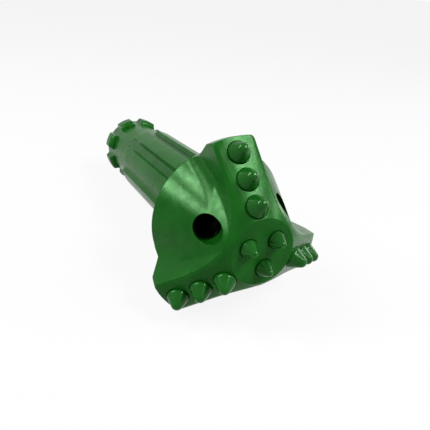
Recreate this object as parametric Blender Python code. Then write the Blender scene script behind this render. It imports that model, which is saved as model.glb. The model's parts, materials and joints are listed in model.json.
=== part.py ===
# Three-wing button bit for a down-the-hole hammer.
#
# One forged and machined steel body with a splined shank, and twelve carbide
# buttons pressed into drilled sockets in its cutting face.
#
# Everything is modelled round the bit's own axis: +Z runs forward out of the
# cutting face, the hub face lies in the plane z = 0, and the first wing points
# along +X. The empty named bit_axis then lays the bit down as it comes to rest,
# on the rear rim of its head and on two neighbouring lugs of its shank.

import math

import bmesh
import bpy
from mathutils import Matrix, Vector

# Driving dimensions of the head, in metres
WING_COUNT = 3
HUB_RADIUS = 0.024
FACE_SLOPE = math.radians(34.5)
GAUGE_RADIUS = 0.0712
GAUGE_LAND = 0.010
GAUGE_RELIEF = 0.0028
WING_THICKNESS = 0.0308
WING_CORNER_RADIUS = 0.0035
WING_CORNER_TURN = math.radians(60)
EDGE_CHAMFER = 0.0020
EDGE_CHAMFER_DROP = 0.0009
NOTCH_RADIUS = 0.0648
VALLEY_FILLET = 0.0075
VALLEY_FILLET_RUN = 0.020
HEAD_LENGTH = 0.066
RIM_SETBACK = 0.0156
RIM_CHAMFER = 0.0014
CORE_FRONT_RADIUS = 0.0266
SHOULDER_BACK_ANGLE = math.radians(39)

# Driving dimensions of the shank
SHANK_LENGTH = 0.230
ROOT_RADIUS = 0.0293
SPLINE_RADIUS = 0.0335
SPLINE_COUNT = 8
SPLINE_PHASE = math.radians(60)
SPLINE_WIDTH = 0.0142
SPLINE_LENGTH = 0.160
SPLINE_RUNOUT = 0.0060
FLANK_DRAFT = 0.0009
ROOT_FILLET = 0.0010
LUG_RADIUS = 0.0345
LUG_LENGTH = 0.020
LUG_ROUND = 0.0055
TAIL_LENGTH = 0.006
TAIL_CHAMFER = 0.0020

# Driving dimensions of the air passages
BORE_RADIUS = 0.0135
BORE_LENGTH = 0.216
VALVE_SEAT_RADIUS = 0.0165
VALVE_SEAT_DEPTH = 0.045
BORE_MOUTH_CHAMFER = 0.0015
DRILL_POINT_RATIO = 0.5
FLUSH_RADIUS = 0.0098
FLUSH_ANGLE = math.radians(26)
FLUSH_MOUTH_RADIUS = 0.0349
FLUSH_MOUTH_SETBACK = 0.0188
FLUSH_END_RADIUS = 0.0014
FLUSH_TOOL_LEAD = 0.030

# Driving dimensions of the buttons and their sockets
WING_BUTTON_RADIUS = 0.0080
WING_BUTTON_INSET = 0.0091
WING_BUTTON_START = 0.0072
WING_BUTTON_LEAST_PITCH = 0.0150
HUB_BUTTON_RADIUS = 0.0066
HUB_BUTTON_CIRCLE = 0.0122
HUB_BUTTON_PHASE = math.radians(60)
BUTTON_DEPTH_RATIO = 1.75
BUTTON_STAND_RATIO = 1.50
BUTTON_COLLAR_RATIO = 0.12
BUTTON_NOSE_RATIO = 0.43
BUTTON_BULGE_RATIO = 0.035
BUTTON_FOOT_CHAMFER = 0.0010
SOCKET_CLEARANCE = 0.0003

# How finely the round forms are divided
TURNED_STEPS = 96
BUTTON_STEPS = 20
SOCKET_STEPS = 28
BORE_STEPS = 40
WALL_POINTS = 7
NOTCH_POINTS = 13
CORNER_POINTS = 3
WING_END_POINTS = 5
HEAD_LEVELS = 15
NOSE_RINGS = 4
RUN_OUT_STEPS = 3
HALVING_STEPS = 40
RESTING_ROUNDS = 8
SMOOTH_ANGLE = math.radians(30)

# What is worked out from the driving dimensions
WING_HALF = WING_THICKNESS / 2
RIM_RADIUS = GAUGE_RADIUS - RIM_SETBACK
NOTCH_HALF_ANGLE = math.pi / WING_COUNT
NOTCH_CENTRE = (NOTCH_RADIUS + WING_HALF) / math.sin(NOTCH_HALF_ANGLE)
NOTCH_TANGENT = NOTCH_CENTRE * math.cos(NOTCH_HALF_ANGLE)
CORE_TAPER = math.atan((RIM_RADIUS - CORE_FRONT_RADIUS) / HEAD_LENGTH)
GAUGE_HEIGHT = -(GAUGE_RADIUS - HUB_RADIUS) * math.tan(FACE_SLOPE)
OVERSHOOT = 0.002
REACH = GAUGE_RADIUS + 3 * OVERSHOOT
SKIN_STEP = 0.00002
PROBE_STEP = 0.00001
WING_TIP_OFFSET = 0.6 * WING_CORNER_RADIUS
TOOTH_FOOT_RISE = 0.3 * ROOT_FILLET
SPLINE_END = -(HEAD_LENGTH + SPLINE_LENGTH)
BIT_END = -(HEAD_LENGTH + SHANK_LENGTH)
LUG_REAR = BIT_END + TAIL_LENGTH
LUG_FRONT = LUG_REAR + LUG_LENGTH


def clear_scene():
    for old in list(bpy.data.objects):
        bpy.data.objects.remove(old, do_unlink=True)


def make_material(name, colour, roughness, metallic):
    material = bpy.data.materials.new(name)
    material.use_nodes = True
    shader = material.node_tree.nodes["Principled BSDF"]
    shader.inputs["Base Color"].default_value = (*colour, 1.0)
    shader.inputs["Roughness"].default_value = roughness
    shader.inputs["Metallic"].default_value = metallic
    material.diffuse_color = (*colour, 1.0)
    return material


def add_object(name, mesh_data, material, parent):
    mesh = bpy.data.meshes.new(name)
    bmesh.ops.recalc_face_normals(mesh_data, faces=mesh_data.faces)
    mesh_data.to_mesh(mesh)
    mesh_data.free()
    mesh.shade_smooth()
    mesh.set_sharp_from_angle(angle=SMOOTH_ANGLE)
    made = bpy.data.objects.new(name, mesh)
    bpy.context.collection.objects.link(made)
    made.parent = parent
    if material:
        mesh.materials.append(material)
    return made


def add_cutter(name, mesh_data, parent):
    cutter = add_object(name, mesh_data, None, parent)
    cutter.hide_render = True
    cutter.display_type = 'WIRE'
    return cutter


def boolean(target, tool, operation):
    modifier = target.modifiers.new(tool.name, 'BOOLEAN')
    modifier.operation = operation
    modifier.solver = 'EXACT'
    modifier.object = tool


def turned(profile, steps):
    # Spins a profile of (radius, height) points about the Z axis
    shape = bmesh.new()
    points = [shape.verts.new((radius, 0.0, height)) for radius, height in profile]
    edges = [shape.edges.new(pair) for pair in zip(points, points[1:])]
    bmesh.ops.spin(shape, geom=points + edges, cent=(0, 0, 0), axis=(0, 0, 1),
                   angle=math.tau, steps=steps, use_merge=True)
    bmesh.ops.remove_doubles(shape, verts=shape.verts, dist=1e-6)
    return shape


def skin(rings, closed_front, closed_back):
    # Joins rings of equal length, given as lists of points, with quads
    shape = bmesh.new()
    loops = [[shape.verts.new(point) for point in ring] for ring in rings]
    count = len(loops[0])
    for upper, lower in zip(loops, loops[1:]):
        for i in range(count):
            j = (i + 1) % count
            shape.faces.new((upper[i], lower[i], lower[j], upper[j]))
    if closed_front:
        shape.faces.new(loops[0])
    if closed_back:
        shape.faces.new(reversed(loops[-1]))
    return shape


def polar(radius, angle, height):
    return Vector((radius * math.cos(angle), radius * math.sin(angle), height))


def face_height(radius):
    # The cutting face is a flat hub and a cone that slopes back from its edge
    return -max(radius - HUB_RADIUS, 0.0) * math.tan(FACE_SLOPE)


def core_radius(height):
    # The cone that stands between the wings and widens towards the shank
    return RIM_RADIUS - (height + HEAD_LENGTH) * math.tan(CORE_TAPER)


def wall_distance(radius, off_wing):
    # How far a point lies outside the wing's wall, at an angle off the wing's middle
    along = radius * math.cos(off_wing)
    across = radius * math.sin(off_wing)
    if along < NOTCH_TANGENT:
        centre_across = WING_HALF + NOTCH_RADIUS
        return NOTCH_RADIUS - math.hypot(along - NOTCH_TANGENT, across - centre_across)
    return across - wing_half_at(along)


def corner_start():
    centre_radius = GAUGE_RADIUS - WING_CORNER_RADIUS
    return math.sqrt(centre_radius ** 2 - (WING_HALF - WING_CORNER_RADIUS) ** 2)


def wing_half_at(along):
    # The wing is straight-sided, with its outer corners rounded
    past = along - corner_start()
    arc_end = WING_CORNER_RADIUS * math.sin(WING_CORNER_TURN)
    if past <= 0:
        return WING_HALF
    if past <= arc_end:
        return WING_HALF - WING_CORNER_RADIUS + math.sqrt(WING_CORNER_RADIUS ** 2 - past ** 2)
    drop = WING_CORNER_RADIUS * (1 - math.cos(WING_CORNER_TURN))
    return WING_HALF - drop - (past - arc_end) * math.tan(WING_CORNER_TURN)


def head_distance(radius, off_wing, height, fillet):
    # Outside distance of wings and core together, filleted where they meet
    wall = wall_distance(radius, off_wing)
    core = (radius - core_radius(height)) * math.cos(CORE_TAPER)
    if fillet <= 0:
        return min(wall, core)
    inner = math.hypot(max(fillet - wall, 0.0), max(fillet - core, 0.0))
    return max(fillet, min(wall, core)) - inner


def surface_radius(off_wing, height, fillet):
    low = HUB_RADIUS / 2
    high = REACH
    if head_distance(high, off_wing, height, fillet) < 0:
        return high
    for _ in range(HALVING_STEPS):
        middle = (low + high) / 2
        if head_distance(middle, off_wing, height, fillet) < 0:
            low = middle
        else:
            high = middle
    return (low + high) / 2


def wing_side_angles():
    # Angles off the wing's middle, from its middle out to the notch's middle
    start = corner_start()
    arc = [start + WING_CORNER_RADIUS * math.sin(WING_CORNER_TURN * i / CORNER_POINTS)
           for i in range(CORNER_POINTS, 0, -1)]
    straight = [NOTCH_TANGENT + (start - NOTCH_TANGENT) * i / WALL_POINTS
                for i in range(WALL_POINTS, -1, -1)]
    walls = [math.atan2(wing_half_at(along), along) for along in arc + straight]
    outer = arc[0] + WING_TIP_OFFSET
    tip = math.atan2(wing_half_at(outer), outer)
    end = [tip * i / WING_END_POINTS for i in range(WING_END_POINTS + 1)]
    notch_start = walls[-1]
    notch = [notch_start + (NOTCH_HALF_ANGLE - notch_start) * i / NOTCH_POINTS
             for i in range(1, NOTCH_POINTS + 1)]
    return end + walls + notch


def round_angles():
    # Pairs of the angle round the axis and the angle off the nearest wing
    side = wing_side_angles()
    pairs = []
    for wing in range(WING_COUNT):
        middle = math.tau * wing / WING_COUNT
        for off in reversed(side[1:]):
            pairs.append((middle - off, off))
        for off in side[:-1]:
            pairs.append((middle + off, off))
    return pairs


def head_skin():
    pairs = round_angles()
    hub_ring = []
    bevel_ring = []
    levels = [[] for _ in range(HEAD_LEVELS + 1)]
    bottom = -HEAD_LENGTH - OVERSHOOT
    for angle, off_wing in pairs:
        wall = surface_radius(off_wing, REACH, 0.0)
        spot = polar(wall, angle, 0.0)
        inset = spot - EDGE_CHAMFER * plan_normal(wall, angle, off_wing)
        inset_angle = math.atan2(inset.y, inset.x)
        inset_radius = inset.length
        hub_ring.append(polar(HUB_RADIUS, inset_angle, 0.0))
        bevel_ring.append(polar(inset_radius, inset_angle, face_height(inset_radius)))
        top = face_height(wall) - EDGE_CHAMFER_DROP
        for level in range(HEAD_LEVELS + 1):
            height = top + (bottom - top) * level / HEAD_LEVELS
            fillet = VALLEY_FILLET * min((top - height) / VALLEY_FILLET_RUN, 1.0)
            radius = surface_radius(off_wing, height, fillet)
            levels[level].append(polar(max(radius, wall), angle, height))
    return skin([hub_ring, bevel_ring] + levels, True, True)


def plan_normal(wall, angle, off_wing):
    # The wall's outward direction in plan, found from the distance round it
    if wall >= REACH:
        return polar(1.0, angle, 0.0)
    here = wall_distance(wall, off_wing)
    radial = (wall_distance(wall + PROBE_STEP, off_wing) - here) / PROBE_STEP
    around = (wall_distance(wall, off_wing + PROBE_STEP / wall) - here) / PROBE_STEP
    turn = 1.0 if is_past_wing(angle) else -1.0
    direction = radial * polar(1.0, angle, 0.0)
    direction += turn * around * polar(1.0, angle + math.pi / 2, 0.0)
    return direction.normalized()


def is_past_wing(angle):
    # True on the side of the nearest wing where the angle grows away from it
    pitch = math.tau / WING_COUNT
    return (angle / pitch) % 1.0 < 0.5


def turned_envelope():
    # The lathe-turned outside of the head: gauge land, back taper and rear rim
    land_radius = GAUGE_RADIUS - GAUGE_RELIEF
    land_end = GAUGE_HEIGHT - GAUGE_LAND
    skirt = RIM_RADIUS + RIM_CHAMFER
    taper_end = land_end - (land_radius - skirt) / math.tan(SHOULDER_BACK_ANGLE)
    profile = [
        (0.0, OVERSHOOT),
        (GAUGE_RADIUS, OVERSHOOT),
        (GAUGE_RADIUS, GAUGE_HEIGHT),
        (land_radius, land_end),
        (skirt, taper_end),
        (RIM_RADIUS, -HEAD_LENGTH + 2 * RIM_CHAMFER),
        (RIM_RADIUS - RIM_CHAMFER, -HEAD_LENGTH),
        (0.0, -HEAD_LENGTH),
    ]
    return turned(profile, TURNED_STEPS)


def tooth_ring(height, tip_radius, width, root_radius):
    # One section of the shank: teeth with leaning flanks and a fillet at the foot
    foot_radius = root_radius + min(TOOTH_FOOT_RISE, tip_radius - root_radius)
    tip_half = math.asin(width / 2 / tip_radius)
    foot_half = math.asin((width / 2 + FLANK_DRAFT) / foot_radius)
    toe_half = math.asin((width / 2 + FLANK_DRAFT + ROOT_FILLET) / root_radius)
    gap_half = math.pi / SPLINE_COUNT
    tips = [(tip_radius, tip_half * step / 2) for step in range(3)]
    side = tips + [(foot_radius, foot_half), (root_radius, toe_half)]
    side += [(root_radius, (gap_half + toe_half) / 2), (root_radius, gap_half)]
    points = []
    for tooth in range(SPLINE_COUNT):
        middle = SPLINE_PHASE + math.tau * tooth / SPLINE_COUNT
        points += [polar(radius, middle - off, height) for radius, off in reversed(side)]
        points += [polar(radius, middle + off, height) for radius, off in side[1:-1]]
    return points


def run_out(radius, flat, start, length):
    # Heights and radii of a tooth's rounded end, from its full height to the root
    turns = [math.pi / 2 * step / RUN_OUT_STEPS for step in range(RUN_OUT_STEPS + 1)]
    return [(start + length * math.sin(turn), flat + (radius - flat) * math.cos(turn))
            for turn in turns]


def shank_skin():
    # Splines, the plain neck and the lugs behind it, from the head to the shank's end
    flat = ROOT_RADIUS + SKIN_STEP
    sections = [(-HEAD_LENGTH + 2 * OVERSHOOT, SPLINE_RADIUS)]
    sections += run_out(SPLINE_RADIUS, flat, SPLINE_END + SPLINE_RUNOUT, -SPLINE_RUNOUT)
    sections += reversed(run_out(LUG_RADIUS, flat, LUG_FRONT - LUG_ROUND, LUG_ROUND))
    sections += run_out(LUG_RADIUS, flat, LUG_REAR + LUG_ROUND, -LUG_ROUND)
    sections.append((BIT_END + TAIL_CHAMFER, flat))
    rings = [tooth_ring(height, tip, SPLINE_WIDTH, ROOT_RADIUS) for height, tip in sections]
    end_root = ROOT_RADIUS - TAIL_CHAMFER
    rings.append(tooth_ring(BIT_END, end_root + SKIN_STEP, SPLINE_WIDTH, end_root))
    return skin(rings, True, True)


def air_bore():
    # Stepped bore from the shank's end, closed by a drill point in the head
    front = BIT_END + BORE_LENGTH
    seat_front = BIT_END + VALVE_SEAT_DEPTH
    mouth = VALVE_SEAT_RADIUS + BORE_MOUTH_CHAMFER
    profile = [
        (0.0, front + DRILL_POINT_RATIO * BORE_RADIUS),
        (BORE_RADIUS, front),
        (BORE_RADIUS, seat_front),
        (VALVE_SEAT_RADIUS, seat_front - (VALVE_SEAT_RADIUS - BORE_RADIUS)),
        (VALVE_SEAT_RADIUS, BIT_END + BORE_MOUTH_CHAMFER),
        (mouth + OVERSHOOT, BIT_END - OVERSHOOT),
        (0.0, BIT_END - OVERSHOOT),
    ]
    return turned(profile, BORE_STEPS)


def flush_direction(index):
    angle = math.tau * (index + 0.5) / WING_COUNT
    outward = polar(math.sin(FLUSH_ANGLE), angle, math.cos(FLUSH_ANGLE))
    mouth = polar(FLUSH_MOUTH_RADIUS, angle, -FLUSH_MOUTH_SETBACK)
    return mouth, outward


def flush_hole(index):
    # A slanted drill hole from the core's cone between two wings to the bore
    mouth, outward = flush_direction(index)
    back = (FLUSH_MOUTH_RADIUS - FLUSH_END_RADIUS) / math.sin(FLUSH_ANGLE)
    ahead = FLUSH_TOOL_LEAD
    profile = [(0.0, ahead), (FLUSH_RADIUS, ahead), (FLUSH_RADIUS, -back), (0.0, -back)]
    shape = turned(profile, SOCKET_STEPS)
    aim = Vector((0, 0, 1)).rotation_difference(outward).to_matrix().to_4x4()
    bmesh.ops.transform(shape, matrix=Matrix.Translation(mouth) @ aim, verts=shape.verts)
    return shape


def button_profile(radius):
    # A ballistic button: cylinder in the socket, round-nosed cone above it
    depth = BUTTON_DEPTH_RATIO * radius
    collar = BUTTON_COLLAR_RATIO * radius
    nose = BUTTON_NOSE_RATIO * radius
    nose_height = BUTTON_STAND_RATIO * radius - nose
    gap = math.hypot(radius, nose_height - collar)
    lean = math.atan2(radius, nose_height - collar) - math.asin(nose / gap)
    profile = [(0.0, -depth), (radius - BUTTON_FOOT_CHAMFER, -depth),
               (radius, -depth + BUTTON_FOOT_CHAMFER), (radius, collar)]
    bulge = BUTTON_BULGE_RATIO * radius
    start = Vector((radius, collar))
    end = Vector((nose * math.cos(lean), nose_height + nose * math.sin(lean)))
    middle = (start + end) / 2 + bulge * Vector((math.cos(lean), math.sin(lean)))
    profile.append(tuple(middle))
    for step in range(NOSE_RINGS):
        angle = lean + (math.pi / 2 - lean) * step / NOSE_RINGS
        profile.append((nose * math.cos(angle), nose_height + nose * math.sin(angle)))
    profile.append((0.0, nose_height + nose))
    return profile


def socket_profile(radius):
    # The socket holds the button's cylinder with an even clearance all round
    wide = radius + SOCKET_CLEARANCE
    depth = BUTTON_DEPTH_RATIO * radius + SOCKET_CLEARANCE
    above = radius
    return [(0.0, -depth), (wide, -depth), (wide, above), (0.0, above)]


def wing_button_place(wing, station):
    # On the sloping face, standing square to it
    angle = math.tau * wing / WING_COUNT
    spot = polar(station, angle, face_height(station))
    aim = polar(math.sin(FACE_SLOPE), angle, math.cos(FACE_SLOPE))
    turn = Vector((0, 0, 1)).rotation_difference(aim).to_matrix().to_4x4()
    return Matrix.Translation(spot) @ turn


def hub_button_place(index):
    angle = HUB_BUTTON_PHASE + math.tau * index / WING_COUNT
    return Matrix.Translation(polar(HUB_BUTTON_CIRCLE, angle, 0.0))


def wing_stations():
    # Radii of a wing's buttons, from its gauge inwards: as many as fit before the hub
    outer = GAUGE_RADIUS - WING_BUTTON_INSET
    length = outer - (HUB_RADIUS + WING_BUTTON_START)
    gaps = max(int(length / WING_BUTTON_LEAST_PITCH), 1)
    return [outer - length * step / gaps for step in range(gaps + 1)]


def row_name(step, count):
    if step == 0:
        return "outer"
    if step == count - 1:
        return "inner"
    return "middle" if step == 1 else f"middle_{step}"


def button_places():
    # Names, radii and places of all the buttons
    wings = ("upper", "left", "right")
    stations = wing_stations()
    places = []
    for wing, side in enumerate(wings[:WING_COUNT]):
        for step, station in enumerate(stations):
            name = f"{side}_wing_button_{row_name(step, len(stations))}"
            places.append((name, WING_BUTTON_RADIUS, wing_button_place(wing, station)))
        name = f"hub_button_{wing + 1}"
        places.append((name, HUB_BUTTON_RADIUS, hub_button_place(wing)))
    return places


def build_body(paint, axis):
    body = add_object("bit_body", head_skin(), paint, axis)
    boolean(body, add_cutter("envelope_tool", turned_envelope(), axis), 'INTERSECT')
    boolean(body, add_cutter("shank_tool", shank_skin(), axis), 'UNION')
    boolean(body, add_cutter("bore_tool", air_bore(), axis), 'DIFFERENCE')
    for index in range(WING_COUNT):
        tool = add_cutter(f"flush_tool_{index + 1}", flush_hole(index), axis)
        boolean(body, tool, 'DIFFERENCE')
    for name, radius, place in button_places():
        shape = turned(socket_profile(radius), SOCKET_STEPS)
        tool = add_cutter(f"{name}_socket_tool", shape, axis)
        tool.matrix_local = place
        boolean(body, tool, 'DIFFERENCE')
    return body


def build_buttons(materials, axis):
    for (name, radius, place), material in zip(button_places(), materials):
        button = add_object(name, turned(button_profile(radius), BUTTON_STEPS), material, axis)
        button.matrix_local = place


def body_points(axis):
    # The corners of every finished piece, in the bit's own axes
    bpy.context.view_layer.update()
    graph = bpy.context.evaluated_depsgraph_get()
    back = axis.matrix_world.inverted()
    points = []
    for piece in axis.children:
        if not piece.hide_render:
            solid = piece.evaluated_get(graph)
            place = back @ solid.matrix_world
            points += [place @ vertex.co for vertex in solid.data.vertices]
    return points


def underside_angle():
    # The gap between two lugs that is nearest to the valley between the lower wings
    pitch = math.tau / SPLINE_COUNT
    gap = round((math.pi - SPLINE_PHASE) / pitch - 0.5) + 0.5
    return SPLINE_PHASE + gap * pitch


def resting_pitch(points):
    # Leans the bit until its head and its lugs touch the ground together
    head = [point for point in points if point.z > -HEAD_LENGTH]
    tail = [point for point in points if point.z <= -HEAD_LENGTH]
    pitch = 0.0
    for _ in range(RESTING_ROUNDS):
        lean = Vector((math.cos(pitch), 0.0, math.sin(pitch)))
        front = min(head, key=lean.dot)
        rear = min(tail, key=lean.dot)
        pitch = math.atan2(rear.x - front.x, front.z - rear.z)
    return pitch


def lie_down(axis):
    # The bit rolls until two lugs touch, its face towards -Y, centred over the origin
    roll = Matrix.Rotation(math.pi - underside_angle(), 4, 'Z')
    points = [roll @ point for point in body_points(axis)]
    upright = Matrix(((0, -1, 0, 0), (0, 0, -1, 0), (1, 0, 0, 0), (0, 0, 0, 1)))
    lying = Matrix.Rotation(-resting_pitch(points), 4, 'X') @ upright
    corners = [lying @ point for point in points]
    low = Vector([min(corner[i] for corner in corners) for i in range(3)])
    high = Vector([max(corner[i] for corner in corners) for i in range(3)])
    shift = Vector(((low.x + high.x) / 2, (low.y + high.y) / 2, low.z))
    axis.matrix_world = Matrix.Translation(-shift) @ lying @ roll


def main():
    clear_scene()
    axis = bpy.data.objects.new("bit_axis", None)
    bpy.context.collection.objects.link(axis)
    body_paint = make_material("body_paint", (0.006, 0.105, 0.017), 0.36, 0.0)
    button_paints = [make_material(f"{name}_paint", (0.008, 0.120, 0.020), 0.26, 0.0)
                     for name, _, _ in button_places()]
    build_body(body_paint, axis)
    build_buttons(button_paints, axis)
    lie_down(axis)


main()
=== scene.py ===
# %% [markdown]
# # A three-wing button bit
#
# The real object is the cutting end of a down-the-hole rock drill. It is one
# forged and machined steel body with a splined shank, and twelve carbide
# buttons pressed into its face, all sprayed with green enamel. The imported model
# gives the sizes and the place of each piece. This lesson makes the fine
# surfaces over it, mixes the paint, sets the light and places the camera.

import json
import math

import bpy
import numpy as np
from mathutils import Matrix, Vector

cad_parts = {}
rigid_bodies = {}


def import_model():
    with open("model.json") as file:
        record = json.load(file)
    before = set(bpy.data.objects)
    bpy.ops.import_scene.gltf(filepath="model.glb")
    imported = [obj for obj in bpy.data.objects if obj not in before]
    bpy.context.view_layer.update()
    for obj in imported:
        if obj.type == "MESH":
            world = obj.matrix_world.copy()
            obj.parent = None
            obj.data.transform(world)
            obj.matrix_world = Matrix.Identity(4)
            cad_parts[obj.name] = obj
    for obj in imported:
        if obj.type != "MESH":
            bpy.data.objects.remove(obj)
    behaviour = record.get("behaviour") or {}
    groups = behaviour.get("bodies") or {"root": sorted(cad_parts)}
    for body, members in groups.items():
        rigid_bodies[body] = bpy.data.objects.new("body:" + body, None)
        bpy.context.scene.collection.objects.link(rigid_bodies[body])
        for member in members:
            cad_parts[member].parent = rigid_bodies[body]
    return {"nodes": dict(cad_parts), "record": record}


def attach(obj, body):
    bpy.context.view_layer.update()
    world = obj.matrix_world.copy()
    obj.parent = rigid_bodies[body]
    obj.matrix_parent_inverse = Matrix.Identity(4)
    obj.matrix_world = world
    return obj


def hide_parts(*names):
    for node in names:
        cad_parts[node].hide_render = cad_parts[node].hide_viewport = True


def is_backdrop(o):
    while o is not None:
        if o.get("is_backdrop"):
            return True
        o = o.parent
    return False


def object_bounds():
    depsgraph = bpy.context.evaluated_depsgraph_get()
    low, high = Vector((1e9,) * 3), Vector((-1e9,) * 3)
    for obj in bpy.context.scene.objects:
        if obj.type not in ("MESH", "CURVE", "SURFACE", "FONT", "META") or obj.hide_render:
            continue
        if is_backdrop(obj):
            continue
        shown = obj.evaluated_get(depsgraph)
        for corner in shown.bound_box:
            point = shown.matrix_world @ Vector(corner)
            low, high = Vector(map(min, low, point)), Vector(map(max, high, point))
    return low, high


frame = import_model()
cad_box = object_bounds()
print("packed model:", len(frame["nodes"]), "nodes")

# %% [markdown]
# The bit lies on its side, rolled and leaned a little, so a piece is easiest to
# model round the bit's own axis and to lay down when it is finished. The axis
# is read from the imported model: the struck end's mount says which way is back,
# and the three hub buttons stand evenly round the middle of the face, the
# second of them opposite the first wing. The first wing points along the bit's
# X, its face looks along Z, and the middle of the flat hub is the bit's zero.

# %% Find the bit's own axes
BIT_LENGTH = 0.296


def node_middle(name):
    corners = [vertex.co for vertex in frame["nodes"][name].data.vertices]
    return sum(corners, Vector()) / len(corners)


strike = next(m for m in frame["record"]["mounts"] if m["name"] == "strike_face")
forward = -Vector(strike["axis"]).normalized()
hub_middles = [node_middle(f"hub_button_{index}") for index in (1, 2, 3)]
on_axis = sum(hub_middles, Vector()) / len(hub_middles)
to_first_wing = on_axis - hub_middles[1]
to_first_wing = (to_first_wing - to_first_wing.dot(forward) * forward).normalized()
sideways = forward.cross(to_first_wing)
ahead = Vector(strike["pos_m"]).dot(forward) + BIT_LENGTH - on_axis.dot(forward)
hub_centre = on_axis + ahead * forward
bit_place = Matrix((to_first_wing, sideways, forward)).transposed().to_4x4()
bit_place.translation = hub_centre
print("hub centre at", [round(value, 4) for value in hub_centre])

# %% [markdown]
# These are the bit's real sizes in metres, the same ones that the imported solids
# have. The fine surfaces are worked out from them, so each one lies on its
# solid and only has more facets. The spare length is how far a cutting shape
# runs past what it cuts.

# %% Sizes of the head
WINGS = ("upper", "left", "right")
HUB_RADIUS = 0.024
FACE_SLOPE = math.radians(34.5)
GAUGE_RADIUS = 0.0712
GAUGE_LAND = 0.010
GAUGE_RELIEF = 0.0028
WING_HALF = 0.0154
WING_CORNER = 0.0035
CORNER_TURN = math.radians(60)
EDGE_CHAMFER = 0.0020
EDGE_DROP = 0.0009
VALLEY_RADIUS = 0.0648
VALLEY_FILLET = 0.0075
FILLET_RUN = 0.020
HEAD_LENGTH = 0.066
RIM_RADIUS = 0.0556
RIM_CHAMFER = 0.0014
CORE_FRONT = 0.0266
BACK_SLOPE = math.radians(39)
SPARE = 0.002

VALLEY_HALF = math.pi / len(WINGS)
VALLEY_FOOT = (VALLEY_RADIUS + WING_HALF) / math.tan(VALLEY_HALF)
CORE_TAPER = math.atan((RIM_RADIUS - CORE_FRONT) / HEAD_LENGTH)
GAUGE_HEIGHT = -(GAUGE_RADIUS - HUB_RADIUS) * math.tan(FACE_SLOPE)
REACH = GAUGE_RADIUS + 3 * SPARE
CORNER_START = math.sqrt((GAUGE_RADIUS - WING_CORNER) ** 2
                         - (WING_HALF - WING_CORNER) ** 2)

# %% [markdown]
# An operator acts on everything that is selected, and loading the frame leaves
# its nodes selected. So each new piece starts from an empty selection. Two
# helpers make most of the shapes. The first extrudes a point along a profile
# and spins it round the axis, as a lathe would. The second wraps a flat grid
# into a closed skin, ring by ring, for forms that no lathe can turn.

# %% Helpers for turned and wrapped shapes
MERGE = 1e-6
SEED_SIZE = 0.01


def deselect_everything():
    if bpy.context.object and bpy.context.object.mode != 'OBJECT':
        bpy.ops.object.mode_set(mode='OBJECT')
    bpy.ops.object.select_all(action='DESELECT')


def close_mesh():
    bpy.ops.mesh.select_all(action='SELECT')
    bpy.ops.mesh.remove_doubles(threshold=MERGE)
    bpy.ops.mesh.fill_holes(sides=0)
    bpy.ops.mesh.select_all(action='SELECT')
    bpy.ops.mesh.normals_make_consistent(inside=False)
    bpy.ops.object.mode_set(mode='OBJECT')


def turned(name, profile, steps):
    deselect_everything()
    bpy.ops.mesh.primitive_plane_add(size=SEED_SIZE)
    shape = bpy.context.object
    shape.name = name
    bpy.ops.object.mode_set(mode='EDIT')
    bpy.ops.mesh.select_all(action='SELECT')
    bpy.ops.mesh.merge(type='CENTER')
    bpy.ops.transform.translate(value=(profile[0][0], 0, profile[0][1]))
    for (radius, height), (next_radius, next_height) in zip(profile, profile[1:]):
        step = (next_radius - radius, 0, next_height - height)
        bpy.ops.mesh.extrude_region_move(TRANSFORM_OT_translate={"value": step})
    bpy.ops.mesh.select_all(action='SELECT')
    bpy.ops.mesh.spin(steps=steps, angle=math.tau, center=(0, 0, 0), axis=(0, 0, 1))
    close_mesh()
    return shape


def wrapped(name, rings):
    rows, columns, _ = rings.shape
    deselect_everything()
    bpy.ops.mesh.primitive_grid_add(x_subdivisions=columns, y_subdivisions=rows - 1)
    shape = bpy.context.object
    shape.name = name
    seam = np.concatenate([rings, rings[:, :1]], axis=1)
    shape.data.vertices.foreach_set("co", seam.astype(np.float32).ravel())
    bpy.ops.object.mode_set(mode='EDIT')
    close_mesh()
    return shape


def cut(target, tool, operation):
    modifier = target.modifiers.new(tool.name, 'BOOLEAN')
    modifier.operation = operation
    modifier.solver = 'EXACT'
    modifier.object = tool
    deselect_everything()
    target.select_set(True)
    bpy.context.view_layer.objects.active = target
    bpy.ops.object.modifier_apply(modifier=modifier.name)
    bpy.data.objects.remove(tool, do_unlink=True)
    print(f"{target.name}: {operation.lower()}, {len(target.data.polygons)} faces")

# %% [markdown]
# The head is a cone between three wings. On the real bit a large round cutter
# mills each valley, so a wing's wall is an arc in plan that runs into a
# straight stretch, and a fillet blends it into the cone. A Boolean of cones and
# cylinders would leave that blend out. So the surface is found as the place
# where a point is neither inside nor outside: the distances to the wall and to
# the cone are joined with a rounded corner, and halving finds the radius at
# which they come to nothing.

# %% Find the head's surface


def face_height(radius):
    return -np.maximum(radius - HUB_RADIUS, 0.0) * math.tan(FACE_SLOPE)


def wing_half_at(along):
    past = along - CORNER_START
    arc_end = WING_CORNER * math.sin(CORNER_TURN)
    arc_past = np.clip(past, 0.0, arc_end)
    arc = WING_HALF - WING_CORNER + np.sqrt(WING_CORNER ** 2 - arc_past ** 2)
    return arc - np.maximum(past - arc_end, 0.0) * math.tan(CORNER_TURN)


def outside_wall(radius, off_wing):
    along = radius * np.cos(off_wing)
    across = radius * np.sin(off_wing)
    valley = VALLEY_RADIUS - np.hypot(along - VALLEY_FOOT,
                                      across - WING_HALF - VALLEY_RADIUS)
    return np.where(along < VALLEY_FOOT, valley, across - wing_half_at(along))


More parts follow.
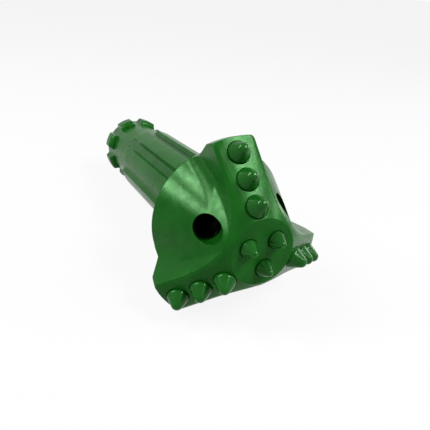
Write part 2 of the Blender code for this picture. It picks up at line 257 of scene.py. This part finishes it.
def outside_head(radius, off_wing, height, fillet):
    wall = outside_wall(radius, off_wing)
    cone = RIM_RADIUS - (height + HEAD_LENGTH) * math.tan(CORE_TAPER)
    core = (radius - cone) * math.cos(CORE_TAPER)
    corner = np.hypot(np.maximum(fillet - wall, 0.0), np.maximum(fillet - core, 0.0))
    return np.maximum(fillet, np.minimum(wall, core)) - corner


def head_radius(off_wing, height, fillet, halvings=40):
    low = np.full(off_wing.shape, HUB_RADIUS / 2)
    high = np.full(off_wing.shape, REACH)
    for _ in range(halvings):
        middle = (low + high) / 2
        inside = outside_head(middle, off_wing, height, fillet) < 0
        low = np.where(inside, middle, low)
        high = np.where(inside, high, middle)
    return (low + high) / 2

# %% [markdown]
# The grid's columns stand where the outline needs them: closest round a wing's
# small corners, evenly along its walls, and evenly again round the valley. Its
# rows start with the flat hub, run out over the sloping face to the chamfer,
# and then go down the walls to the rear of the head.

# %% Wrap the head's skin
END_COLUMNS = 9
CORNER_COLUMNS = 7
WALL_COLUMNS = 22
VALLEY_COLUMNS = 40
FACE_ROWS = 12
WALL_ROWS = 60
TIP_OFFSET = 0.6 * WING_CORNER


def side_angles():
    turn = np.linspace(CORNER_TURN, 0, CORNER_COLUMNS + 1)
    corner = CORNER_START + WING_CORNER * np.sin(turn)
    wall = np.linspace(CORNER_START, VALLEY_FOOT, WALL_COLUMNS + 1)[1:]
    along = np.concatenate([corner, wall])
    walls = np.arctan2(wing_half_at(along), along)
    tip_along = corner[0] + TIP_OFFSET
    tip = math.atan2(wing_half_at(tip_along), tip_along)
    end = np.linspace(0, tip, END_COLUMNS + 1)
    valley = np.linspace(walls[-1], VALLEY_HALF, VALLEY_COLUMNS + 1)[1:]
    return np.concatenate([end, walls, valley])


def plan_normals(radius, angle, off_wing, turn, step=1e-5):
    here = outside_wall(radius, off_wing)
    radial = (outside_wall(radius + step, off_wing) - here) / step
    around = turn * (outside_wall(radius, off_wing + step / radius) - here) / step
    free = radius >= REACH - step
    radial = np.where(free, 1.0, radial)
    around = np.where(free, 0.0, around)
    normal = np.stack([radial * np.cos(angle) - around * np.sin(angle),
                       radial * np.sin(angle) + around * np.cos(angle)], axis=-1)
    return normal / np.linalg.norm(normal, axis=-1, keepdims=True)


def ring(radius, angle, height):
    height = np.broadcast_to(height, radius.shape)
    return np.stack([radius * np.cos(angle), radius * np.sin(angle), height], axis=-1)


side = side_angles()
one_wing = np.concatenate([-side[:0:-1], side[:-1]])
wing_turns = [math.tau * wing / len(WINGS) for wing in range(len(WINGS))]
angles = np.concatenate([one_wing + turn for turn in wing_turns])
off_wings = np.abs(np.tile(one_wing, len(WINGS)))
turns = np.where(np.tile(one_wing, len(WINGS)) < 0, -1.0, 1.0)

wall_radius = head_radius(off_wings, REACH, 0.0)
wall_plan = ring(wall_radius, angles, 0.0)[:, :2]
inset = wall_plan - EDGE_CHAMFER * plan_normals(wall_radius, angles, off_wings, turns)
inset_radius = np.linalg.norm(inset, axis=-1)
inset_angle = np.arctan2(inset[:, 1], inset[:, 0])

rings = []
for share in np.linspace(0, 1, FACE_ROWS + 1):
    radius = HUB_RADIUS + (inset_radius - HUB_RADIUS) * share
    rings.append(ring(radius, inset_angle, face_height(radius)))
top = face_height(wall_radius) - EDGE_DROP
bottom = -HEAD_LENGTH - SPARE
for share in np.linspace(0, 1, WALL_ROWS + 1):
    height = top + (bottom - top) * share
    fillet = VALLEY_FILLET * np.minimum((top - height) / FILLET_RUN, 1.0)
    radius = np.maximum(head_radius(off_wings, height, fillet), wall_radius)
    rings.append(ring(radius, angles, height))
body = wrapped("enamelled_body", np.array(rings))
print("head skin:", len(rings), "rows of", len(angles), "columns")

# %% [markdown]
# A forging is turned on a lathe before its valleys are milled, and that turned
# outline still ends each wing: a cylindrical gauge land with a little relief, a
# slope behind it, and the rim at the rear of the head. Spinning that outline and
# keeping only what lies inside both shapes gives the wings their ends.

# %% Trim the wings to the turned outline
TURNED_STEPS = 288
land_radius = GAUGE_RADIUS - GAUGE_RELIEF
land_end = GAUGE_HEIGHT - GAUGE_LAND
skirt = RIM_RADIUS + RIM_CHAMFER
outline = [
    (0.0, SPARE),
    (GAUGE_RADIUS, SPARE),
    (GAUGE_RADIUS, GAUGE_HEIGHT),
    (land_radius, land_end),
    (skirt, land_end - (land_radius - skirt) / math.tan(BACK_SLOPE)),
    (RIM_RADIUS, -HEAD_LENGTH + 2 * RIM_CHAMFER),
    (RIM_RADIUS - RIM_CHAMFER, -HEAD_LENGTH),
    (0.0, -HEAD_LENGTH),
]
cut(body, turned("turned_outline", outline, TURNED_STEPS), 'INTERSECT')

# %% [markdown]
# The shank carries eight splines that the hammer's chuck turns. Behind a plain
# neck the same eight teeth come back as short lugs with rounded ends, which a
# ring in the hammer catches to hold the bit. One section is worked out as a
# tooth with leaning flanks and a small fillet at each foot, and the skin runs
# through such sections, whose tips rise and fall where a tooth begins and ends.

# %% Wrap the splined shank
ROOT_RADIUS = 0.0293
SPLINE_RADIUS = 0.0335
SPLINE_COUNT = 8
SPLINE_PHASE = math.radians(60)
SPLINE_HALF = 0.0071
SPLINE_LENGTH = 0.160
SPLINE_RUNOUT = 0.0060
FLANK_DRAFT = 0.0009
ROOT_FILLET = 0.0010
LUG_RADIUS = 0.0345
LUG_LENGTH = 0.020
LUG_ROUND = 0.0055
TAIL_LENGTH = 0.006
TAIL_CHAMFER = 0.0020
LEAST_RISE = 0.00002
RUN_OUT_ROWS = 10
TIP_COLUMNS = 6
FOOT_COLUMNS = 5
ROOT_COLUMNS = 6
BIT_END = -BIT_LENGTH


def tooth_ring(height, tip_radius, root_radius):
    fillet = min(ROOT_FILLET, tip_radius - root_radius)
    turn = np.linspace(0, math.pi / 2, FOOT_COLUMNS)
    foot = SPLINE_HALF + FLANK_DRAFT
    foot_radius = root_radius + fillet * (1 - np.sin(turn))
    foot_angle = np.arcsin((foot + ROOT_FILLET * (1 - np.cos(turn))) / foot_radius)
    tip_angle = np.linspace(0, math.asin(SPLINE_HALF / tip_radius), TIP_COLUMNS)
    root_angle = np.linspace(foot_angle[-1], math.pi / SPLINE_COUNT, ROOT_COLUMNS)[1:]
    radius = np.concatenate([np.full(TIP_COLUMNS, tip_radius), foot_radius,
                             np.full(ROOT_COLUMNS - 1, root_radius)])
    off = np.concatenate([tip_angle, foot_angle, root_angle])
    tooth_radius = np.concatenate([radius[::-1], radius[1:-1]])
    tooth_angle = np.concatenate([-off[::-1], off[1:-1]])
    middles = SPLINE_PHASE + math.tau * np.arange(SPLINE_COUNT) / SPLINE_COUNT
    around = (middles[:, None] + tooth_angle[None, :]).ravel()
    return ring(np.tile(tooth_radius, SPLINE_COUNT), around, height)


def run_out(radius, start, length):
    turn = np.linspace(0, math.pi / 2, RUN_OUT_ROWS)
    flat = ROOT_RADIUS + LEAST_RISE
    height = start + length * np.sin(turn)
    tip = flat + (radius - flat) * np.cos(turn)
    return list(zip(height, tip))


spline_end = -(HEAD_LENGTH + SPLINE_LENGTH)
lug_rear = BIT_END + TAIL_LENGTH
lug_front = lug_rear + LUG_LENGTH
sections = [(-HEAD_LENGTH + 2 * SPARE, SPLINE_RADIUS)]
sections += run_out(SPLINE_RADIUS, spline_end + SPLINE_RUNOUT, -SPLINE_RUNOUT)
sections += run_out(LUG_RADIUS, lug_front - LUG_ROUND, LUG_ROUND)[::-1]
sections += run_out(LUG_RADIUS, lug_rear + LUG_ROUND, -LUG_ROUND)
sections.append((BIT_END + TAIL_CHAMFER, ROOT_RADIUS + LEAST_RISE))
shank_rings = [tooth_ring(height, tip, ROOT_RADIUS) for height, tip in sections]
end_root = ROOT_RADIUS - TAIL_CHAMFER
shank_rings.append(tooth_ring(BIT_END, end_root + LEAST_RISE, end_root))
cut(body, wrapped("splined_shank", np.array(shank_rings)), 'UNION')

# %% [markdown]
# Air comes down a stepped bore from the struck end and leaves through three
# slanted holes, one in each valley, to blow the chips away. They are real
# holes in the mesh, drilled with turned cutters. Spray reaches only the first
# stretch of a passage and stops at a clean line, so each cutter has one more
# ring there, where the paint will end. Past it the passage is coloured near
# black. That colour stands for the bare forge scale and also paints the shade
# deep in the hole.

# %% Drill the air passages
BORE_RADIUS = 0.0135
BORE_LENGTH = 0.216
SEAT_RADIUS = 0.0165
SEAT_DEPTH = 0.045
MOUTH_CHAMFER = 0.0015
FLUSH_RADIUS = 0.0098
FLUSH_ANGLE = math.radians(26)
FLUSH_MOUTH_RADIUS = 0.0349
FLUSH_MOUTH_SETBACK = 0.0188
FLUSH_END_RADIUS = 0.0014
FLUSH_LEAD = 0.030
PAINT_DEPTH = 0.020
DRILL_STEPS = 96

bore_front = BIT_END + BORE_LENGTH
seat_front = BIT_END + SEAT_DEPTH
bore = [
    (0.0, bore_front + BORE_RADIUS / 2),
    (BORE_RADIUS, bore_front),
    (BORE_RADIUS, seat_front),
    (SEAT_RADIUS, seat_front - (SEAT_RADIUS - BORE_RADIUS)),
    (SEAT_RADIUS, BIT_END + PAINT_DEPTH),
    (SEAT_RADIUS, BIT_END + MOUTH_CHAMFER),
    (SEAT_RADIUS + MOUTH_CHAMFER + SPARE, BIT_END - SPARE),
    (0.0, BIT_END - SPARE),
]
cut(body, turned("air_bore", bore, DRILL_STEPS), 'DIFFERENCE')

flush_back = (FLUSH_MOUTH_RADIUS - FLUSH_END_RADIUS) / math.sin(FLUSH_ANGLE)
drill = [(0.0, FLUSH_LEAD), (FLUSH_RADIUS, FLUSH_LEAD), (FLUSH_RADIUS, -PAINT_DEPTH),
         (FLUSH_RADIUS, -flush_back), (0.0, -flush_back)]
flush_lines = []
for valley in range(len(WINGS)):
    angle = math.tau * (valley + 0.5) / len(WINGS)
    hole = turned(f"flushing_hole_{valley + 1}", drill, DRILL_STEPS)
    mouth = (FLUSH_MOUTH_RADIUS * math.cos(angle), FLUSH_MOUTH_RADIUS * math.sin(angle),
             -FLUSH_MOUTH_SETBACK)
    hole.matrix_world = (Matrix.Translation(mouth) @ Matrix.Rotation(angle, 4, 'Z')
                         @ Matrix.Rotation(FLUSH_ANGLE, 4, 'Y'))
    flush_lines.append((Vector(mouth), hole.matrix_world.to_3x3() @ Vector((0, 0, -1))))
    cut(body, hole, 'DIFFERENCE')

# %% [markdown]
# Each button is a round-nosed cone on a short collar. The wing buttons stand
# square to the sloping face in rows of three, and the hub buttons stand along
# the bit's axis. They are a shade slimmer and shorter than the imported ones, as
# they measure on the painted bit.

# %% Say where the buttons stand
WING_BUTTON_RADIUS = 0.0077
WING_BUTTON_INSET = 0.0091
WING_BUTTON_PITCH = 0.01545
WING_NOSE_RATIO = 0.55
WING_STAND_RATIO = 1.42
HUB_BUTTON_RADIUS = 0.00635
HUB_BUTTON_CIRCLE = 0.0122
HUB_BUTTON_PHASE = math.radians(60)
HUB_NOSE_RATIO = 0.40
HUB_STAND_RATIO = 1.56
DEPTH_RATIO = 1.82
COLLAR_RATIO = 0.10
SHOULDER_RATIO = 0.30
FOOT_CHAMFER = 0.0010
CLEARANCE = 0.0003
BUTTON_STEPS = 72
NOSE_ROWS = 12
SHOULDER_ROWS = 8


def button_places():
    places = []
    for wing, name in enumerate(WINGS):
        turn = Matrix.Rotation(math.tau * wing / len(WINGS), 4, 'Z')
        for step, row in enumerate(("outer", "middle", "inner")):
            station = GAUGE_RADIUS - WING_BUTTON_INSET - step * WING_BUTTON_PITCH
            spot = Matrix.Translation((station, 0, float(face_height(station))))
            place = turn @ spot @ Matrix.Rotation(FACE_SLOPE, 4, 'Y')
            places.append((f"{name}_wing_button_{row}", WING_BUTTON_RADIUS, place))
        angle = HUB_BUTTON_PHASE + math.tau * wing / len(WINGS)
        place = Matrix.Translation((HUB_BUTTON_CIRCLE * math.cos(angle),
                                    HUB_BUTTON_CIRCLE * math.sin(angle), 0))
        places.append((f"hub_button_{wing + 1}", HUB_BUTTON_RADIUS, place))
    return places

# %% [markdown]
# A socket is drilled a little wider than its button, and that fine gap shows as
# the thin dark line round the button's foot. All twelve cutters are joined, so
# one cut drills every socket.

# %% Drill the sockets


def socket_profile(radius):
    wide = radius + CLEARANCE
    depth = DEPTH_RATIO * radius + CLEARANCE
    return [(0.0, -depth), (wide, -depth), (wide, radius), (0.0, radius)]


sockets = []
for name, radius, place in button_places():
    socket = turned(f"{name}_socket", socket_profile(radius), BUTTON_STEPS)
    socket.matrix_world = place
    sockets.append(socket)
deselect_everything()
for socket in sockets:
    socket.select_set(True)
bpy.context.view_layer.objects.active = sockets[0]
bpy.ops.object.join()
cut(body, sockets[0], 'DIFFERENCE')

# %% [markdown]
# A button is pressed and sintered, then tumbled, so its cone meets the collar in
# a rounded shoulder and ends in a ball. Shoulder and ball are two arcs that
# share one straight tangent, and the lean of that tangent follows from their
# sizes. The hub's buttons have the smaller ball of the two. One turned button
# of each size is enough: the rest are copies with meshes of their own.

# %% Turn the buttons


def button_profile(radius, nose_ratio, stand_ratio):
    nose = nose_ratio * radius
    shoulder = SHOULDER_RATIO * radius
    collar = COLLAR_RATIO * radius
    nose_height = stand_ratio * radius - nose
    across, along = radius - shoulder, nose_height - collar
    slant = math.hypot(across, along)
    lean = math.atan2(across, along) - math.asin((nose - shoulder) / slant)
    depth = DEPTH_RATIO * radius
    profile = [(0.0, -depth), (radius - FOOT_CHAMFER, -depth),
               (radius, FOOT_CHAMFER - depth)]
    for angle in np.linspace(0, lean, SHOULDER_ROWS):
        profile.append((across + shoulder * math.cos(angle),
                        collar + shoulder * math.sin(angle)))
    for angle in np.linspace(lean, math.pi / 2, NOSE_ROWS, endpoint=False):
        profile.append((nose * math.cos(angle), nose_height + nose * math.sin(angle)))
    return profile + [(0.0, nose_height + nose)]


patterns = {}
for radius, nose, stand in ((WING_BUTTON_RADIUS, WING_NOSE_RATIO, WING_STAND_RATIO),
                            (HUB_BUTTON_RADIUS, HUB_NOSE_RATIO, HUB_STAND_RATIO)):
    profile = button_profile(radius, nose, stand)
    patterns[radius] = turned(f"pattern_{radius}", profile, BUTTON_STEPS)
buttons = []
for name, radius, place in button_places():
    button = bpy.data.objects.new(f"enamelled_{name}", patterns[radius].data.copy())
    bpy.context.collection.objects.link(button)
    button.matrix_world = place
    buttons.append((button, name))
for pattern in patterns.values():
    bpy.data.objects.remove(pattern, do_unlink=True)
print("buttons:", len(buttons), "of", len(buttons[0][0].data.polygons), "faces each")

# %% [markdown]
# The spray never reached the faces deep in the passages. They lie past the
# paint's line in the bore or along one of the slanted holes. Their numbers are
# kept until the materials are ready. They get a near black that stands for the
# bare scale and also paints the shade deep in the hole.

# %% Find the faces deep in the passages


def deep_in_passage(spot):
    in_bore = math.hypot(spot.x, spot.y) < SEAT_RADIUS + MOUTH_CHAMFER
    if in_bore and BIT_END + PAINT_DEPTH < spot.z < bore_front + BORE_RADIUS:
        return True
    for mouth, inward in flush_lines:
        depth = (spot - mouth).dot(inward)
        off_line = (spot - mouth - depth * inward).length
        if depth > PAINT_DEPTH and off_line < FLUSH_RADIUS + CLEARANCE:
            return True
    return False


# These faces take the near black, which is scale and painted shade together.
scale_and_shade_faces = [face.index for face in body.data.polygons if deep_in_passage(face.center)]
print("unpainted faces deep in the passages:", len(scale_and_shade_faces))

# %% [markdown]
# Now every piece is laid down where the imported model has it. The place goes
# into the mesh, which leaves the object at zero and unturned, so that a
# pattern on object coordinates stays put. Shading is smooth up to a limit, and
# weighted normals keep the large faces flat beside their edges.

# %% Lay the pieces down and shade them
SMOOTH_LIMIT = math.radians(30)


def finish_piece(piece):
    deselect_everything()
    piece.matrix_world = bit_place @ piece.matrix_world
    piece.select_set(True)
    bpy.context.view_layer.objects.active = piece
    bpy.ops.object.transform_apply(location=True, rotation=True, scale=True)
    bpy.ops.object.shade_smooth_by_angle(angle=SMOOTH_LIMIT)
    weighted = piece.modifiers.new("weighted normals", 'WEIGHTED_NORMAL')
    weighted.keep_sharp = True
    bpy.ops.object.modifier_apply(modifier=weighted.name)


finish_piece(body)
for button, _ in buttons:
    finish_piece(button)
print("body:", sum(len(p.vertices) - 2 for p in body.data.polygons), "triangles")

# %% [markdown]
# Every pattern on the bit is a noise on the object's own coordinates. The first
# helper starts a material, the second adds such a noise to it, and the third
# lays a ramp between two colours over the noise.

# %% Helpers for patterned materials


def new_material(name):
    material = bpy.data.materials.new(name)
    material.use_nodes = True
    tree = material.node_tree
    return material, tree, tree.nodes["Principled BSDF"]


def noise(tree, scale, detail):
    place = tree.nodes.new("ShaderNodeTexCoord")
    node = tree.nodes.new("ShaderNodeTexNoise")
    node.inputs["Scale"].default_value = scale
    node.inputs["Detail"].default_value = detail
    tree.links.new(place.outputs["Object"], node.inputs["Vector"])
    return node.outputs["Fac"]


def colour_over(tree, pattern, low_end, high_end):
    ramp = tree.nodes.new("ShaderNodeValToRGB")
    elements = ramp.color_ramp.elements
    for element, (position, colour) in zip(elements, (low_end, high_end)):
        element.position = position
        element.color = (*colour, 1)
    tree.links.new(pattern, ramp.inputs["Fac"])
    return ramp.outputs["Color"]

# %% [markdown]
# The paint is a thin sprayed enamel over machined steel. Some light passes the
# coat, meets the steel and comes back green, which draws soft green streaks
# beside the white ones of the gloss, so the shader is a little metallic. Its
# colour drifts where the coat is thicker, and its gloss varies in soft patches.

# %% Set the enamel's colour and gloss
LEAF_GREEN = (0.0034, 0.054, 0.0036)
THIN_GREEN = (0.0046, 0.068, 0.0048)
STEEL_THROUGH_COAT = 0.16
DRIFT_SCALE, DRIFT_DETAIL = 70, 5
LEAF_UNTIL, THIN_FROM = 0.35, 0.68
PATCH_SCALE, PATCH_DETAIL = 160, 4
PATCH_LOW, PATCH_HIGH = 0.3, 0.7
SMOOTHER, ROUGHER = 0.05, 0.06


def drifting_green(tree):
    drift = noise(tree, DRIFT_SCALE, DRIFT_DETAIL)
    return colour_over(tree, drift, (LEAF_UNTIL, LEAF_GREEN), (THIN_FROM, THIN_GREEN))


def patchy_roughness(tree, rough):
    patches = tree.nodes.new("ShaderNodeMapRange")
    patches.inputs["From Min"].default_value = PATCH_LOW
    patches.inputs["From Max"].default_value = PATCH_HIGH
    patches.inputs["To Min"].default_value = rough - SMOOTHER
    patches.inputs["To Max"].default_value = rough + ROUGHER
    tree.links.new(noise(tree, PATCH_SCALE, PATCH_DETAIL), patches.inputs["Value"])
    return patches.outputs["Result"]

# %% [markdown]
# The coat's surface has the fine dimples that painters call orange peel over a
# slow wave. The shader's rounded edges stand for paint that flows over each
# corner. A button is smoother than the forged steel, so its coat is glossier,
# with shallower dimples and tighter edges.

# %% Mix the enamel
EDGE_SAMPLES = 6
WAVE_SCALE, WAVE_DETAIL = 85, 2
WAVE_STRENGTH = 0.30
WAVE_HEIGHT = 0.0006
PEEL_SCALE, PEEL_DETAIL = 950, 3
PEEL_HEIGHT = 0.00015


def bumped(tree, pattern, strength, height, under):
    bump = tree.nodes.new("ShaderNodeBump")
    bump.inputs["Strength"].default_value = strength
    bump.inputs["Distance"].default_value = height
    tree.links.new(pattern, bump.inputs["Height"])
    tree.links.new(under, bump.inputs["Normal"])
    return bump.outputs["Normal"]


def mix_enamel(name, gloss, rough, peel, edge):
    paint, tree, shader = new_material(name)
    shader.inputs["Specular IOR Level"].default_value = gloss
    shader.inputs["Metallic"].default_value = STEEL_THROUGH_COAT
    tree.links.new(drifting_green(tree), shader.inputs["Base Color"])
    tree.links.new(patchy_roughness(tree, rough), shader.inputs["Roughness"])
    rounded = tree.nodes.new("ShaderNodeBevel")
    rounded.samples = EDGE_SAMPLES
    rounded.inputs["Radius"].default_value = edge
    slow = noise(tree, WAVE_SCALE, WAVE_DETAIL)
    fine = noise(tree, PEEL_SCALE, PEEL_DETAIL)
    wave = bumped(tree, slow, WAVE_STRENGTH, WAVE_HEIGHT, rounded.outputs["Normal"])
    dimples = bumped(tree, fine, peel, PEEL_HEIGHT, wave)
    tree.links.new(dimples, shader.inputs["Normal"])
    print("mixed", name)
    return paint


body_paint = mix_enamel("body_enamel", gloss=0.085, rough=0.25, peel=0.20, edge=0.0006)
button_paint = mix_enamel("button_enamel", gloss=0.15, rough=0.17, peel=0.10,
                          edge=0.0003)

# %% [markdown]
# Past the spray's reach a passage keeps the dull black scale of the forge. Its
# colour is darker than real scale, as dark as an unlit hole, so it also paints
# the shade deep in the passage. It is a little patchy and quite rough.

# %% Mix the forge scale and its painted shade
# Both colours are near black: they stand for the scale and paint the hole's shade.
SCALE_AND_SHADE_BLACK = (0.0030, 0.0036, 0.0032)
SCALE_AND_SHADE_GREY = (0.0075, 0.0080, 0.0076)
SCALE_ROUGHNESS = 0.62
SCALE_GLOSS = 0.08
CRUST_SCALE, CRUST_DETAIL = 210, 5

scale_and_painted_shade, scale_and_shade_tree, scale_and_shade_shader = new_material("scale_and_painted_shade")
scale_and_shade_shader.inputs["Roughness"].default_value = SCALE_ROUGHNESS
scale_and_shade_shader.inputs["Specular IOR Level"].default_value = SCALE_GLOSS
crust = noise(scale_and_shade_tree, CRUST_SCALE, CRUST_DETAIL)
crust_and_shade_colour = colour_over(scale_and_shade_tree, crust, (0.0, SCALE_AND_SHADE_BLACK), (1.0, SCALE_AND_SHADE_GREY))
scale_and_shade_tree.links.new(crust_and_shade_colour, scale_and_shade_shader.inputs["Base Color"])
print("mixed", scale_and_painted_shade.name)

# %% [markdown]
# Each piece gets its paint and rides on the imported body, and the imported
# node it stands in for is hidden. The faces deep in the passages take the scale
# with its painted shade, as the body's second material.

# %% Paint the pieces and give them their places


def paint_piece(piece, paint, node):
    piece.data.materials.clear()
    piece.data.materials.append(paint)
    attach(piece, "root")
    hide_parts(node)


paint_piece(body, body_paint, "bit_body")
# The second material is near black: it stands for the scale and paints the shade deep in
# the passages.
body.data.materials.append(scale_and_painted_shade)
scale_and_shade_slot = body.data.materials.find(scale_and_painted_shade.name)
for index in scale_and_shade_faces:
    body.data.polygons[index].material_index = scale_and_shade_slot
for button, node in buttons:
    paint_piece(button, button_paint, node)

# %% [markdown]
# The floor is wide enough that the camera never looks past it. For the camera
# and for reflections it glows most of the way to the pale backdrop's shade and
# takes the rest from the lamps, so it looks plain and still keeps a soft shadow
# under the bit. For all other light it is an ordinary pale floor. The room is
# lit by the same choice, so the choice is a helper of its own.

# %% Tell what is seen or mirrored


def seen_or_mirrored(nodes, links):
    path = nodes.new("ShaderNodeLightPath")
    either = nodes.new("ShaderNodeMath")
    either.operation = 'MAXIMUM'
    links.new(path.outputs["Is Camera Ray"], either.inputs[0])
    links.new(path.outputs["Is Glossy Ray"], either.inputs[1])
    any_of = nodes.new("ShaderNodeMath")
    any_of.operation = 'MAXIMUM'
    links.new(either.outputs[0], any_of.inputs[0])
    links.new(path.outputs["Is Transmission Ray"], any_of.inputs[1])
    return any_of.outputs[0]

# %% Lay the floor
FLOOR_SIZE = 80.0
FLOOR_GLOW = 0.895
FLOOR_TAKES = 0.045
FLOOR_GREY = 0.80

deselect_everything()
bpy.ops.mesh.primitive_plane_add(size=FLOOR_SIZE, location=(0, 0, cad_box[0][2]))
floor = bpy.context.object
floor.name = "studio_floor"
floor_paint = bpy.data.materials.new("studio_floor")
floor_paint.use_nodes = True
floor_nodes = floor_paint.node_tree.nodes
floor_links = floor_paint.node_tree.links
floor_nodes.remove(floor_nodes["Principled BSDF"])


def matt(grey):
    node = floor_nodes.new("ShaderNodeBsdfDiffuse")
    node.inputs["Color"].default_value = (grey, grey, grey, 1)
    return node.outputs["BSDF"]


glow = floor_nodes.new("ShaderNodeEmission")
glow.inputs["Strength"].default_value = FLOOR_GLOW
shown = floor_nodes.new("ShaderNodeAddShader")
floor_links.new(glow.outputs[0], shown.inputs[0])
floor_links.new(matt(FLOOR_TAKES), shown.inputs[1])
choice = floor_nodes.new("ShaderNodeMixShader")
floor_links.new(seen_or_mirrored(floor_nodes, floor_links), choice.inputs["Fac"])
floor_links.new(matt(FLOOR_GREY), choice.inputs[1])
floor_links.new(shown.outputs[0], choice.inputs[2])
floor_links.new(choice.outputs[0], floor_nodes["Material Output"].inputs["Surface"])
floor.data.materials.append(floor_paint)
floor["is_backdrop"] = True

# %% [markdown]
# Glossy paint shows its lamps, so their places matter more than their strength.
# Six small softboxes stand round the bit. Two at the rear left, one low and one
# high, draw the bright streaks on the cone beside the top wing. The one at the
# front top lays the sheen on that wing's face. Three more at the right, each
# lower and weaker than the last, keep the walls and edges of the wings from
# going dark. A softbox is set by its direction from the bit, its size and how
# bright its cloth looks.

# %% Set the softboxes
LAMP_DISTANCE = 1.3
# name, azimuth and elevation in degrees, width and height in metres, brightness
SOFTBOXES = (
    ("low rear left softbox", -104, 30, 0.32, 0.28, 38.0),
    ("high rear left softbox", -106, 53, 0.40, 0.28, 42.0),
    ("front top softbox", 33, 47, 0.36, 0.34, 42.0),
    ("right softbox", 62, 50, 0.28, 0.26, 30.0),
    ("low front right softbox", 60, 27, 0.26, 0.22, 20.0),
    ("low right softbox", 95, 8, 0.34, 0.22, 10.0),
)
lamp_target = (Vector(cad_box[0]) + Vector(cad_box[1])) / 2


def softbox(name, azimuth, elevation, width, height, brightness):
    azimuth = math.radians(azimuth)
    elevation = math.radians(elevation)
    direction = Vector((math.sin(azimuth) * math.cos(elevation),
                        -math.cos(azimuth) * math.cos(elevation), math.sin(elevation)))
    lamp = bpy.data.lights.new(name, 'AREA')
    lamp.shape = 'RECTANGLE'
    lamp.size = width
    lamp.size_y = height
    lamp.energy = brightness * math.pi * width * height
    holder = bpy.data.objects.new(name, lamp)
    bpy.context.collection.objects.link(holder)
    holder.location = lamp_target + LAMP_DISTANCE * direction
    holder.rotation_euler = direction.to_track_quat('Z', 'Y').to_euler()
    print(name, "gives", round(lamp.energy, 1), "watts")


for row in SOFTBOXES:
    softbox(*row)

# %% [markdown]
# The room adds a weak, even light from all sides. The camera and the
# reflections see it at the backdrop's pale shade instead.

# %% Light the room
BACKDROP = 0.955
ROOM_LIGHT = 0.14

world = bpy.context.scene.world or bpy.data.worlds.new("room")
bpy.context.scene.world = world
world.use_nodes = True
room_nodes = world.node_tree.nodes
room_links = world.node_tree.links
level = room_nodes.new("ShaderNodeMapRange")
level.inputs["To Min"].default_value = ROOM_LIGHT
level.inputs["To Max"].default_value = BACKDROP
room_links.new(seen_or_mirrored(room_nodes, room_links), level.inputs["Value"])
room_links.new(level.outputs["Result"], room_nodes["Background"].inputs["Strength"])
room_nodes["Background"].inputs["Color"].default_value = (1, 1, 1, 1)
bpy.context.scene.view_settings.view_transform = 'Standard'

# %% [markdown]
# The camera stands in front of the face, a little to the side, and looks down
# along the shank. Its place is set in the bit's own axes, so it keeps the same
# view of the bit however the bit comes to lie.

# %% Place the camera
LOOK_AT = Vector((-0.00082, 0.00098, -0.06987))
VIEW_AZIMUTH = math.radians(39.96)
VIEW_ELEVATION = math.radians(55.02)
VIEW_DISTANCE = 0.35432
VIEW_ROLL = math.radians(4.715)
LENS = 37.647
SENSOR = 36.0

towards_eye = Vector((math.cos(VIEW_ELEVATION) * math.cos(VIEW_AZIMUTH),
                      math.cos(VIEW_ELEVATION) * math.sin(VIEW_AZIMUTH),
                      math.sin(VIEW_ELEVATION)))
level_right = (-towards_eye).cross(Vector((1, 0, 0))).normalized()
level_up = level_right.cross(-towards_eye)
right = level_right * math.cos(VIEW_ROLL) - level_up * math.sin(VIEW_ROLL)
up = level_up * math.cos(VIEW_ROLL) + level_right * math.sin(VIEW_ROLL)
eye_place = Matrix((right, up, towards_eye)).transposed().to_4x4()
eye_place.translation = LOOK_AT + VIEW_DISTANCE * towards_eye
lens = bpy.data.cameras.new("camera")
lens.sensor_width = SENSOR
lens.lens = LENS
camera = bpy.data.objects.new("camera", lens)
bpy.context.collection.objects.link(camera)
camera.matrix_world = bit_place @ eye_place
bpy.context.scene.camera = camera
print("camera at", [round(value, 3) for value in camera.matrix_world.translation])

# %% [markdown]
# The dressed bit has to keep the imported model's size, so both boxes are
# measured and compared.

# %% Compare the sizes
visual_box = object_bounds()
differences = [abs(cad - visual)
               for corners in zip(cad_box, visual_box)
               for cad, visual in zip(*corners)]
print("sizes differ by at most", round(1000 * max(differences), 3), "mm")
